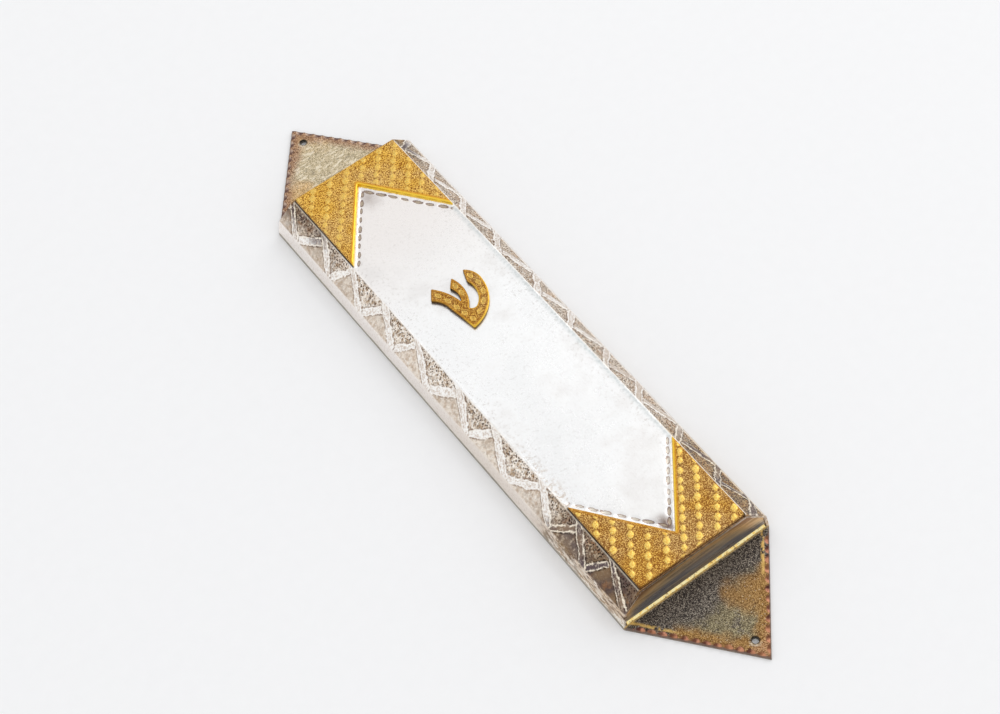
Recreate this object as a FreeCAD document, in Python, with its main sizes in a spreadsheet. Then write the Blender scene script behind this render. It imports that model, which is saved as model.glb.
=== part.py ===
import FreeCAD, Part
import os

import Sketcher

# Mezuzah case: a folded silver housing on an elongated six-sided back plate.
# It lies on its back with the letter upright towards +Y. The origin is in the
# middle of the back face, X is the width, Y the length and Z the height.

DIMENSIONS = {
    "housing_length": 126.0,
    "ear_length": 23.0,
    "case_width": 37.0,
    "back_thickness": 1.0,
    "nail_hole_dia": 1.5,
    "nail_hole_inset": 4.9,
    "window_width": 24.0,
    "window_length": 121.0,
    "sheet_thickness": 0.6,
    "break_height": 5.0,
    "break_width": 36.0,
    "crease_height": 9.3,
    "top_width": 27.0,
    "end_lean": 0.8,
    "wall_recess": 0.3,
    "cover_thickness": 0.8,
    "cover_clearance": 0.06,
    "cover_side_gap": 0.15,
    "cover_end_gap": 1.0,
    "rail_width": 1.6,
    "rail_thickness": 0.9,
    "rail_end_gap": 1.6,
    "chevron_thickness": 0.9,
    "chevron_inset": 0.25,
    "chevron_end_inset": 0.3,
    "chevron_arm": 23.4,
    "chevron_apex": 5.6,
    "letter_height": 14.0,
    "letter_centre": 15.6,
    "letter_side": 0.5,
    "letter_thickness": 0.9,
    "scroll_dia": 6.4,
    "scroll_bore": 2.2,
    "scroll_length": 120.0,
    "scroll_gap": 0.14,
}

# Heights and slopes that several pieces share, as expressions on the sheet.
HALF_HOUSING = "Dims.housing_length / 2"
BACK = "Dims.back_thickness"
COVER_BOTTOM = "(Dims.back_thickness + Dims.cover_clearance)"
COVER_TOP = "(Dims.back_thickness + Dims.cover_clearance + Dims.cover_thickness)"
RAIL_BOTTOM = "(Dims.back_thickness + 2 * Dims.cover_clearance + Dims.cover_thickness)"
RAIL_TOP = f"({RAIL_BOTTOM} + Dims.rail_thickness)"
CEILING = "(Dims.crease_height - Dims.sheet_thickness)"
WALL_ANGLE = (
    "atan2((Dims.case_width - Dims.break_width) / 2; Dims.break_height - Dims.back_thickness)"
)
SLOPE_ANGLE = (
    "atan2(Dims.crease_height - Dims.break_height; (Dims.break_width - Dims.top_width) / 2)"
)
BISECTOR = f"(({WALL_ANGLE} + 90deg - {SLOPE_ANGLE}) / 2)"
HALF_TURN = f"((90deg - {SLOPE_ANGLE} - {WALL_ANGLE}) / 2)"
LEAN_PER_MM = "(Dims.end_lean / (Dims.crease_height - Dims.back_thickness))"


def inner_wall(height):
    """Distance from the middle to the side wall's inner face at a height."""
    foot = f"Dims.case_width / 2 - Dims.sheet_thickness / cos({WALL_ANGLE})"
    return f"({foot} - ({height} - {BACK}) * tan({WALL_ANGLE}))"


INNER_BREAK_X = (
    f"(Dims.break_width / 2 - Dims.sheet_thickness * cos({BISECTOR}) / cos({HALF_TURN}))"
)
INNER_BREAK_Z = (
    f"(Dims.break_height - Dims.sheet_thickness * sin({BISECTOR}) / cos({HALF_TURN}))"
)
INNER_CREASE_X = f"(Dims.top_width / 2 - Dims.sheet_thickness * tan({SLOPE_ANGLE} / 2))"


doc = FreeCAD.newDocument("mezuzah_case")
sheet = doc.addObject("Spreadsheet::Sheet", "Dims")
for row, (alias, number) in enumerate(DIMENSIONS.items(), start=1):
    sheet.set(f"A{row}", alias)
    sheet.set(f"B{row}", str(number))
    sheet.setAlias(f"B{row}", alias)
doc.recompute()

pieces = []


def new_body(name):
    """A PartDesign body that becomes one named piece of the case."""
    body = doc.addObject("PartDesign::Body", name)
    body.Label = name
    pieces.append(body)
    return body


def new_sketch(body, role, name, height=None):
    """A sketch on one of the body's own origin planes, raised by an expression if given."""
    plane = next(f for f in body.Origin.OriginFeatures if f.Role == role)
    sketch = body.newObject("Sketcher::SketchObject", f"{body.Label}_{name}")
    sketch.AttachmentSupport = [(plane, "")]
    sketch.MapMode = "FlatFace"
    if height:
        sketch.setExpression(".AttachmentOffset.Base.z", height)
    return sketch


def value_of(expression):
    """The present number of an expression on the sheet."""
    result = sheet.evalExpression(expression)
    return float(getattr(result, "Value", result))


def place_point(sketch, edge, end, x, y):
    """Hold one end of an edge at a place given by two expressions."""
    for kind, expression in (("DistanceX", x), ("DistanceY", y)):
        index = sketch.addConstraint(
            Sketcher.Constraint(kind, -1, 1, edge, end, value_of(expression))
        )
        name = f"{kind}{edge}_{end}"
        sketch.renameConstraint(index, name)
        sketch.setExpression(f"Constraints.{name}", expression)


def draw_polygon(sketch, corners):
    """A closed outline of straight edges, each corner given by two expressions."""
    points = [FreeCAD.Vector(value_of(x), value_of(y), 0) for x, y in corners]
    first = sketch.GeometryCount
    count = len(corners)
    for i in range(count):
        sketch.addGeometry(Part.LineSegment(points[i], points[(i + 1) % count]), False)
    for i in range(count):
        following = first + (i + 1) % count
        sketch.addConstraint(Sketcher.Constraint("Coincident", first + i, 2, following, 1))
    for i, (x, y) in enumerate(corners):
        place_point(sketch, first + i, 1, x, y)


def draw_circle(sketch, x, y, diameter):
    """A circle whose centre and diameter are expressions."""
    centre = FreeCAD.Vector(value_of(x), value_of(y), 0)
    size = value_of(diameter)
    edge = sketch.addGeometry(Part.Circle(centre, FreeCAD.Vector(0, 0, 1), size / 2), False)
    place_point(sketch, edge, 3, x, y)
    index = sketch.addConstraint(Sketcher.Constraint("Diameter", edge, size))
    sketch.renameConstraint(index, f"Dia{edge}")
    sketch.setExpression(f"Constraints.Dia{edge}", diameter)


def mirrored(corners):
    """The corners of a right half, followed by their mirror images across the middle."""
    return corners + [(f"-({x})", y) for x, y in reversed(corners)]


def add_pad(body, sketch, length, midplane=False):
    """Raise a sketch into a solid, to one side or evenly to both."""
    pad = body.newObject("PartDesign::Pad", f"{sketch.Name}_pad")
    pad.Profile = sketch
    pad.setExpression("Length", length)
    pad.Midplane = midplane
    doc.recompute()
    return pad


def add_pocket(body, sketch):
    """Cut a sketch right through the solid, both ways from its plane."""
    before = body.Shape.Volume
    pocket = body.newObject("PartDesign::Pocket", f"{sketch.Name}_pocket")
    pocket.Profile = sketch
    pocket.Type = "ThroughAll"
    pocket.Midplane = True
    doc.recompute()
    if not body.Shape.Volume < before:
        raise RuntimeError(f"{pocket.Name} cuts nothing")
    return pocket


def build_back_frame():
    """Six-sided plate with a nail hole in each ear and a long window for the scroll."""
    body = new_body("back_frame")
    outline = new_sketch(body, "XY_Plane", "outline")
    side, end = "Dims.case_width / 2", HALF_HOUSING
    tip = f"({HALF_HOUSING} + Dims.ear_length)"
    corners = [
        ("0", tip),
        (side, end),
        (side, f"-({end})"),
        ("0", f"-{tip}"),
        (f"-({side})", f"-({end})"),
        (f"-({side})", end),
    ]
    draw_polygon(outline, corners)
    add_pad(body, outline, BACK)
    cuts = new_sketch(body, "XY_Plane", "cuts")
    half_width, half_length = "Dims.window_width / 2", "Dims.window_length / 2"
    draw_polygon(cuts, mirrored([(half_width, f"-({half_length})"), (half_width, half_length)]))
    for sign in ("", "-"):
        draw_circle(cuts, "0", f"{sign}({tip} - Dims.nail_hole_inset)", "Dims.nail_hole_dia")
    add_pocket(body, cuts)


def build_cover_shell():
    """One folded sheet: two low walls, two slopes and a flat top, with leaning ends."""
    body = new_body("cover_shell")
    section = new_sketch(body, "XZ_Plane", "section")
    outer = [
        ("Dims.case_width / 2", BACK),
        ("Dims.break_width / 2", "Dims.break_height"),
        ("Dims.top_width / 2", "Dims.crease_height"),
    ]
    inner = [
        (inner_wall(BACK), BACK),
        (INNER_BREAK_X, INNER_BREAK_Z),
        (INNER_CREASE_X, CEILING),
    ]
    left_inner = [(f"-({x})", z) for x, z in inner]
    draw_polygon(section, mirrored(outer) + left_inner + list(reversed(inner)))
    add_pad(body, section, "Dims.housing_length", midplane=True)
    ends = new_sketch(body, "YZ_Plane", "ends")
    above = "(Dims.crease_height + 1)"
    slant = f"({LEAN_PER_MM} * ({above} - {BACK}))"
    for sign in ("", "-"):
        draw_polygon(
            ends,
            [
                (f"{sign}({HALF_HOUSING})", BACK),
                (f"{sign}({HALF_HOUSING} + 1)", BACK),
                (f"{sign}({HALF_HOUSING} + 1)", above),
                (f"{sign}({HALF_HOUSING} - {slant})", above),
            ],
        )
    add_pocket(body, ends)


def build_end_wall(name, sign, foot):
    """A leaning sheet inside one end of the shell, from its foot to the ceiling."""
    body = new_body(name)
    slab = new_sketch(body, "YZ_Plane", "slab")
    outer_foot = f"({HALF_HOUSING} - Dims.wall_recess)"

    def lean_at(height):
        return f"{LEAN_PER_MM} * ({height} - {BACK})"

    draw_polygon(
        slab,
        [
            (f"{sign}({outer_foot} - {lean_at(foot)})", foot),
            (f"{sign}({outer_foot} - {lean_at(CEILING)})", CEILING),
            (f"{sign}({outer_foot} - Dims.sheet_thickness - {lean_at(CEILING)})", CEILING),
            (f"{sign}({outer_foot} - Dims.sheet_thickness - {lean_at(foot)})", foot),
        ],
    )
    add_pad(body, slab, "Dims.case_width", midplane=True)
    trim = new_sketch(body, "XZ_Plane", "trim")
    beyond, above = "(Dims.case_width / 2 + 1)", "(Dims.crease_height + 1)"
    draw_polygon(
        trim,
        [
            (beyond, "0"),
            (beyond, above),
            (INNER_CREASE_X, above),
            (INNER_CREASE_X, CEILING),
            (INNER_BREAK_X, INNER_BREAK_Z),
            (inner_wall("0"), "0"),
        ],
    )
    draw_polygon(
        trim,
        [
            (f"-({beyond})", "0"),
            (f"-({inner_wall('0')})", "0"),
            (f"-({INNER_BREAK_X})", INNER_BREAK_Z),
            (f"-({INNER_CREASE_X})", CEILING),
            (f"-({INNER_CREASE_X})", above),
            (f"-({beyond})", above),
        ],
    )
    add_pocket(body, trim)


def build_slide_cover():
    """Brass plate that closes the window and slides out at the foot of the lower end."""
    body = new_body("slide_cover")
    outline = new_sketch(body, "XY_Plane", "outline", COVER_BOTTOM)
    side = f"({inner_wall(COVER_TOP)} - Dims.cover_side_gap)"
    far_end = f"({HALF_HOUSING} - Dims.wall_recess - Dims.sheet_thickness - Dims.cover_end_gap)"
    draw_polygon(outline, mirrored([(side, f"-({HALF_HOUSING})"), (side, far_end)]))
    add_pad(body, outline, "Dims.cover_thickness")


def build_rail(name, sign):
    """A strip along one side wall that holds the sliding plate down."""
    body = new_body(name)
    section = new_sketch(body, "XZ_Plane", "section")
    inner_edge = f"({inner_wall(RAIL_BOTTOM)} - Dims.rail_width)"
    draw_polygon(
        section,
        [
            (f"{sign}{inner_wall(RAIL_BOTTOM)}", RAIL_BOTTOM),
            (f"{sign}{inner_wall(RAIL_TOP)}", RAIL_TOP),
            (f"{sign}{inner_edge}", RAIL_TOP),
            (f"{sign}{inner_edge}", RAIL_BOTTOM),
        ],
    )
    add_pad(body, section, "Dims.housing_length - 2 * Dims.rail_end_gap", midplane=True)


def build_chevron(name, sign):
    """A brass plate on one end of the flat top, with a deep V cut towards the middle."""
    body = new_body(name)
    outline = new_sketch(body, "XY_Plane", "outline", "Dims.crease_height")
    side = "(Dims.top_width / 2 - Dims.chevron_inset)"
    end = f"({HALF_HOUSING} - Dims.end_lean - Dims.chevron_end_inset)"
    draw_polygon(
        outline,
        [
            (side, f"{sign}{end}"),
            (side, f"{sign}({end} - Dims.chevron_arm)"),
            ("0", f"{sign}({end} - Dims.chevron_apex)"),
            (f"-{side}", f"{sign}({end} - Dims.chevron_arm)"),
            (f"-{side}", f"{sign}{end}"),
        ],
    )
    add_pad(body, outline, "Dims.chevron_thickness")


def build_letter():
    """A plain three-armed letter, cut from sheet: arcs meeting at a pointed base."""
    body = new_body("shin_letter")
    outline = new_sketch(body, "XY_Plane", "outline", "Dims.crease_height")
    size = value_of("Dims.letter_height")
    centre = value_of("Dims.letter_centre")
    side = value_of("Dims.letter_side")
    base = (-0.20, -0.50)
    right_hip, right_tip, right_lip = (0.42, 0.16), (0.28, 0.49), (0.20, 0.26)
    right_crotch, middle_root = (0.07, -0.19), (-0.05, -0.15)
    middle_tip, middle_lip = (0.05, 0.47), (-0.08, 0.32)
    left_crotch, left_tip, left_lip = (-0.08, 0.02), (-0.31, 0.50), (-0.44, 0.31)
    left_waist = (-0.29, 0.02)
    # Each run: where it starts, the point that it bends through (none if straight), its end.
    runs = [
        (base, (0.24, -0.27), right_hip),
        (right_hip, (0.39, 0.36), right_tip),
        (right_tip, None, right_lip),
        (right_lip, (0.21, -0.01), right_crotch),
        (right_crotch, (0.0, -0.20), middle_root),
        (middle_root, (0.095, 0.16), middle_tip),
        (middle_tip, None, middle_lip),
        (middle_lip, (-0.04, 0.17), left_crotch),
        (left_crotch, (-0.16, 0.28), left_tip),
        (left_tip, None, left_lip),
        (left_lip, (-0.33, 0.18), left_waist),
        (left_waist, None, base),
    ]

    def at(point):
        return FreeCAD.Vector(point[0] * size + side, point[1] * size + centre, 0)

    for start, middle, end in runs:
        if middle:
            edge = Part.Arc(at(start), at(middle), at(end))
        else:
            edge = Part.LineSegment(at(start), at(end))
        outline.addGeometry(edge, False)
    add_pad(body, outline, "Dims.letter_thickness")


def build_scroll():
    """Blank parchment rolled into a tube, lying along the chamber above the plate."""
    body = new_body("scroll")
    ends = new_sketch(body, "XZ_Plane", "ends")
    height = f"{COVER_TOP} + Dims.scroll_gap + Dims.scroll_dia / 2"
    for diameter in ("Dims.scroll_dia", "Dims.scroll_bore"):
        draw_circle(ends, "0", height, diameter)
    add_pad(body, ends, "Dims.scroll_length", midplane=True)


build_back_frame()
build_cover_shell()
build_end_wall("upper_end_wall", "", BACK)
build_end_wall("lower_end_wall", "-", RAIL_BOTTOM)
build_slide_cover()
build_rail("left_rail", "-")
build_rail("right_rail", "")
build_chevron("upper_chevron", "")
build_chevron("lower_chevron", "-")
build_letter()
build_scroll()
doc.recompute()

failed = [o.Name for o in doc.Objects if {"Invalid", "Error"} & set(o.State)]
if failed:
    raise RuntimeError(f"failed objects: {failed}")
for piece in pieces:
    if piece.Shape.isNull() or not piece.Shape.isValid():
        raise RuntimeError(f"{piece.Label} has no valid shape")

os.makedirs("parts", exist_ok=True)
for piece in pieces:
    piece.Shape.exportStep(f"parts/{piece.Label}.step")
    box = piece.Shape.BoundBox
    size = " x ".join(f"{length:.2f}" for length in (box.XLength, box.YLength, box.ZLength))
    print(f"{piece.Label}: {len(piece.Shape.Solids)} solid, {piece.Shape.Volume:.1f} mm3, {size} mm")
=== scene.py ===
import math

import bmesh
import bpy
import numpy as np
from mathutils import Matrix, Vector
from mathutils.geometry import delaunay_2d_cdt


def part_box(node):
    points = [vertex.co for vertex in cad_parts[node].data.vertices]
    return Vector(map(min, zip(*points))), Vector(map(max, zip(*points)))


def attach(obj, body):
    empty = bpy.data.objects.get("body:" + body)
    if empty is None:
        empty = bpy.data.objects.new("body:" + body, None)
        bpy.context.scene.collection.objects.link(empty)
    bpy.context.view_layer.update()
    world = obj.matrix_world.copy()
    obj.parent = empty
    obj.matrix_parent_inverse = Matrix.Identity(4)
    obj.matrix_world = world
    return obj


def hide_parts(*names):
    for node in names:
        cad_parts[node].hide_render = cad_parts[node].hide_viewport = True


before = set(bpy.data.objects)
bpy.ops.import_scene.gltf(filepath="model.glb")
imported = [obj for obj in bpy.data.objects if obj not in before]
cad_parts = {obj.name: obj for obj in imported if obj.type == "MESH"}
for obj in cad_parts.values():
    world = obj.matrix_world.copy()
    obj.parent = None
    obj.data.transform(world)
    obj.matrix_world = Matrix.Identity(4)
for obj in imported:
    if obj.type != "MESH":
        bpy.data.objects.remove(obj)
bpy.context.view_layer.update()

# Lengths here are in millimetres, in the frame's own axes, and become metres in add_piece.
MM = 0.001


def node_box(node):
    """A CAD node's lowest and highest corners, in millimetres."""
    low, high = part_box(node)
    return np.array(low) / MM, np.array(high) / MM


SHELL_LOW, SHELL_HIGH = node_box("cover_shell")
FRAME_LOW, FRAME_HIGH = node_box("back_frame")
PLATE_LOW, PLATE_HIGH = node_box("lower_chevron")
HALF_WIDTH = SHELL_HIGH[0]
HALF_LENGTH = SHELL_HIGH[1]
TIP = FRAME_HIGH[1]
FOOT_Z = SHELL_LOW[2]
CREASE_Z = SHELL_HIGH[2]
END_LEAN = 0.8
BREAK_X, BREAK_Z = 18.0, 5.0
CREASE_X = 13.5
SHEET = 0.6
CHEVRON_SIDE = PLATE_HIGH[0]
CHEVRON_END = -PLATE_LOW[1]
CHEVRON_ARM = PLATE_HIGH[1] - PLATE_LOW[1]
CHEVRON_TIP = CHEVRON_END - CHEVRON_ARM
CHEVRON_APEX = CHEVRON_END - 5.6


# ---------------------------------------------------------------- numbers and noise

def hashed(a, b, seed):
    """A fixed pseudo-random number from 0 to 1 for each pair of whole numbers."""
    mixed = np.sin(a * 127.1 + b * 311.7 + seed * 74.7) * 43758.5453
    return mixed - np.floor(mixed)


def noise(x, y, size, seed):
    """Smooth noise from 0 to 1, with blotches of about that size."""
    gx, gy = x / size, y / size
    ix, iy = np.floor(gx), np.floor(gy)
    fx, fy = gx - ix, gy - iy
    fx, fy = fx * fx * (3 - 2 * fx), fy * fy * (3 - 2 * fy)
    low = hashed(ix, iy, seed) * (1 - fx) + hashed(ix + 1, iy, seed) * fx
    high = hashed(ix, iy + 1, seed) * (1 - fx) + hashed(ix + 1, iy + 1, seed) * fx
    return low * (1 - fy) + high * fy


def step(value, low, high):
    """Smooth rise from 0 at low to 1 at high."""
    t = np.clip((value - low) / (high - low), 0, 1)
    return t * t * (3 - 2 * t)


def bell(value, width):
    """1 at zero, falling away over the width."""
    return np.exp(-((value / width) ** 2))


def segment_distance(x, y, start, end):
    """Distance of points to a segment, and how far along it they are, in millimetres."""
    ax, ay = start
    dx, dy = end[0] - ax, end[1] - ay
    length = math.hypot(dx, dy)
    along = np.clip(((x - ax) * dx + (y - ay) * dy) / length, 0, length)
    return np.hypot(x - ax - along * dx / length, y - ay - along * dy / length), along


def nearest(x, y, segments):
    """Distance of points to the nearest of some segments."""
    return np.min([segment_distance(x, y, *segment)[0] for segment in segments], axis=0)


def loop_distance(x, y, loop):
    """Distance of points to a closed outline."""
    return nearest(x, y, zip(loop, loop[1:] + loop[:1]))


def inside(x, y, loop):
    """Whether points are inside a closed outline."""
    crossed = np.zeros(np.shape(x), bool)
    for i, (ax, ay) in enumerate(loop):
        bx, by = loop[(i + 1) % len(loop)]
        if ay == by:
            continue
        spans = (ay > y) != (by > y)
        crossed ^= spans & (x < (bx - ax) * (y - ay) / (by - ay) + ax)
    return crossed


# ---------------------------------------------------------------- meshes

def grid_points(x, y, z):
    """The points of a grid, one after another."""
    return np.stack([x, y, z], -1).reshape(-1, 3)


def in_scene(name, data, place=(0, 0, 0), turns=(0, 0, 0)):
    """A new object of the scene, at a place in metres."""
    made = bpy.data.objects.new(name, data)
    made.location = place
    made.rotation_euler = turns
    bpy.context.scene.collection.objects.link(made)
    return made


def add_piece(name, points, faces, nodes, material, layers=None, crisp=35, body="case"):
    """A mesh piece from points in millimetres that rides on a body and takes nodes' places.

    Each layer is a named number at each point, for the material to use.
    """
    mesh = bpy.data.meshes.new(name)
    mesh.from_pydata([tuple(p) for p in np.asarray(points) * MM], [], faces)
    for key, values in (layers or {}).items():
        layer = mesh.attributes.new(key, "FLOAT", "POINT")
        layer.data.foreach_set("value", np.asarray(values, dtype=np.float32))
    work = bmesh.new()
    work.from_mesh(mesh)
    bmesh.ops.recalc_face_normals(work, faces=work.faces)
    work.to_mesh(mesh)
    work.free()
    mesh.shade_smooth()
    mesh.set_sharp_from_angle(angle=math.radians(crisp))
    mesh.materials.append(material)
    piece = in_scene(name, mesh)
    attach(piece, body)
    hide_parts(*nodes)


def densified(loop, spacing):
    """The outline with points added so that none are further apart than the spacing."""
    points = []
    for i, start in enumerate(loop):
        end = loop[(i + 1) % len(loop)]
        count = max(1, math.ceil(math.dist(start, end) / spacing))
        for k in range(count):
            t = k / count
            points.append((start[0] + (end[0] - start[0]) * t, start[1] + (end[1] - start[1]) * t))
    return points


def softened(loop, spacing):
    """The outline with its corners cut twice, so that they are rounded a little."""
    points = np.array(densified(loop, spacing))
    for _ in range(2):
        after = np.roll(points, -1, axis=0)
        points = np.stack([points * 0.75 + after * 0.25, points * 0.25 + after * 0.75], 1)
        points = points.reshape(-1, 2)
    return [tuple(point) for point in points]


def inset(loop, depth):
    """Points of a densified outline moved inward, apart from those crowded by corners."""
    points = np.array(loop)
    tangent = np.roll(points, -1, axis=0) - np.roll(points, 1, axis=0)
    normal = np.stack([-tangent[:, 1], tangent[:, 0]], 1)
    normal /= np.linalg.norm(normal, axis=1)[:, None]
    x, y = points[:, 0], points[:, 1]
    area = np.sum(x * np.roll(y, -1) - np.roll(x, -1) * y)
    moved = points + normal * depth * (1 if area > 0 else -1)
    clear = loop_distance(moved[:, 0], moved[:, 1], loop) > depth * 0.97
    return [tuple(p) for p in moved[clear]]


def inner_points(outline, holes, spacing, margin, fine):
    """Points of a staggered grid inside an outline, outside its holes and clear of both.

    Where fine(x, y) is false, they are eight times further apart.
    """
    low, high = np.min(outline, axis=0), np.max(outline, axis=0)
    columns = np.arange(low[0], high[0], spacing)
    rows = np.arange(low[1], high[1], spacing * 0.866)
    x, y = np.meshgrid(columns, rows)
    x = x + (np.arange(len(rows)) % 2)[:, None] * spacing / 2
    keep = inside(x, y, outline)
    distance = loop_distance(x, y, outline)
    for hole in holes:
        keep &= ~inside(x, y, hole)
        distance = np.minimum(distance, loop_distance(x, y, hole))
    keep &= distance > margin
    if fine:
        sparse = (np.arange(len(rows)) % 8 == 0)[:, None] & (np.arange(len(columns)) % 8 == 0)
        keep &= fine(x, y) | sparse
    return list(zip(x[keep], y[keep]))


def triangulated(rim, inner, edges, holes):
    """Places, triangles outside the holes, and where each point of the rim went."""
    found = delaunay_2d_cdt([Vector(p) for p in rim + inner], edges, [], 1, 1e-6)
    places = np.array([tuple(v) for v in found[0]])
    centres = np.array([places[list(face)].mean(axis=0) for face in found[2]])
    kept = np.ones(len(centres), bool)
    for hole in holes:
        kept &= ~inside(centres[:, 0], centres[:, 1], hole)
    triangles = [list(face) for face, use in zip(found[2], kept) if use]
    where = {source: new for new, sources in enumerate(found[3]) for source in sources}
    return places, triangles, where


def relief_plate(outline, holes, spacing, bottom, top, relief, round_edge, fine=None):
    """Points and faces of a plate whose upper face has a relief, and which points are on it.

    relief(x, y) is a height below zero that is added to the top. Where fine(x, y) is
    false, inner points are far apart.
    """
    loops = [densified(loop, spacing) for loop in [outline] + holes]
    rim = [point for loop in loops for point in loop]
    edges = []
    for loop in loops:
        first, count = len(edges), len(loop)
        edges += [(first + i, first + (i + 1) % count) for i in range(count)]
    inner = inset(loops[0], round_edge * 0.4) + inset(loops[0], round_edge)
    inner += inner_points(outline, holes, spacing, round_edge + spacing * 0.5, fine)
    upper, upper_faces, upper_at = triangulated(rim, inner, edges, holes)
    lower, lower_faces, lower_at = triangulated(rim, [], edges, holes)
    x, y = upper[:, 0], upper[:, 1]
    closeness = np.clip(1 - loop_distance(x, y, outline) / round_edge, 0, 1)
    rounding = round_edge * (1 - np.sqrt(1 - closeness ** 2))
    z = top - rounding + np.minimum(relief(x, y), 0)
    points = list(zip(x, y, z)) + [(a, b, bottom) for a, b in lower]
    start = len(upper)
    faces = upper_faces + [[start + i for i in face] for face in lower_faces]
    for a, b in edges:
        faces.append([upper_at[a], upper_at[b], start + lower_at[b], start + lower_at[a]])
    return np.array(points), faces, np.arange(len(points)) < start


def grid_quads(grid):
    """The four-sided faces between neighbours in a grid of point numbers."""
    quads = np.stack([grid[:-1, :-1], grid[:-1, 1:], grid[1:, 1:], grid[1:, :-1]], -1)
    return quads.reshape(-1, 4)


def closed_sheet(front, back, rows, columns):
    """Points and faces of a sheet between two grids of points with the same layout."""
    grid = np.arange(rows * columns).reshape(rows, columns)
    quads = grid_quads(grid)
    rim = np.concatenate([grid[0, :-1], grid[:-1, -1], grid[-1, :0:-1], grid[:0:-1, 0]])
    after = np.roll(rim, -1)
    shift = rows * columns
    sides = np.stack([rim, after, after + shift, rim + shift], 1)
    return np.concatenate([front, back]), np.concatenate([quads, quads + shift, sides]).tolist()


# ---------------------------------------------------------------- material nodes

def srgb(colour):
    """A display colour, such as "ffcc00", as the linear colour that nodes want."""
    return [((v / 255 + 0.055) / 1.055) ** 2.4 for v in bytes.fromhex(colour)] + [1.0]


class Value:
    """What a node gives at each point of a surface: a number, a colour or a direction."""

    def __init__(self, finish, socket):
        self.finish = finish
        self.socket = socket

    def joined(operation):
        """A method that joins a value and others in one math node."""
        def join(self, *others):
            return self.finish.made("ShaderNodeMath", 0, (self, *others), operation=operation)

        return join

    __add__, __sub__ = joined("ADD"), joined("SUBTRACT")
    __mul__, __truediv__ = joined("MULTIPLY"), joined("DIVIDE")
    __abs__, whole = joined("ABSOLUTE"), joined("FLOOR")
    most, least = joined("MAXIMUM"), joined("MINIMUM")

    def __rsub__(self, other):
        return self * -1.0 + other

    def wobbled(self, noise, amount):
        """The value with a noise around its middle added."""
        return self + (noise - 0.5) * amount

    def span(self, low, high, to_low=0.0, to_high=1.0):
        """A smooth change from to_low to to_high as the value goes from low to high."""
        inputs = (self, low, high, to_low, to_high)
        return self.finish.made("ShaderNodeMapRange", 0, inputs, interpolation_type="SMOOTHSTEP")

    def ring(self, middle, width):
        """1 where the value is at the middle, and 0 further away than the width."""
        return self.span(middle - width, middle) * self.span(middle + width, middle)

    def random(self):
        """A fixed random number from 0 to 1 for each whole number."""
        noise = {"W": self}
        return self.finish.made("ShaderNodeTexWhiteNoise", "Value", noise, noise_dimensions="1D")

    def blend(self, a, b):
        """The colour a where the value is 0, and b where it is 1."""
        return self.finish.made("ShaderNodeMix", 2, {"Factor": self, 6: a, 7: b}, data_type="RGBA")

    def ramp(self, *stops):
        """A colour for the value, from stops that are each a value and a colour."""
        node = self.finish.add("ShaderNodeValToRGB")
        band = node.color_ramp
        while len(band.elements) < len(stops):
            band.elements.new(0.5)
        for element, (position, colour) in zip(band.elements, stops):
            element.position = position
            element.color = srgb(colour)
        self.finish.feed(node.inputs[0], self)
        return Value(self.finish, node.outputs[0])

    def grained(self, low, middle, high):
        """The stippled ears' grain in three tones."""
        return self.ramp((0.42, high), (0.57, middle), (0.74, low))


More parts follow.
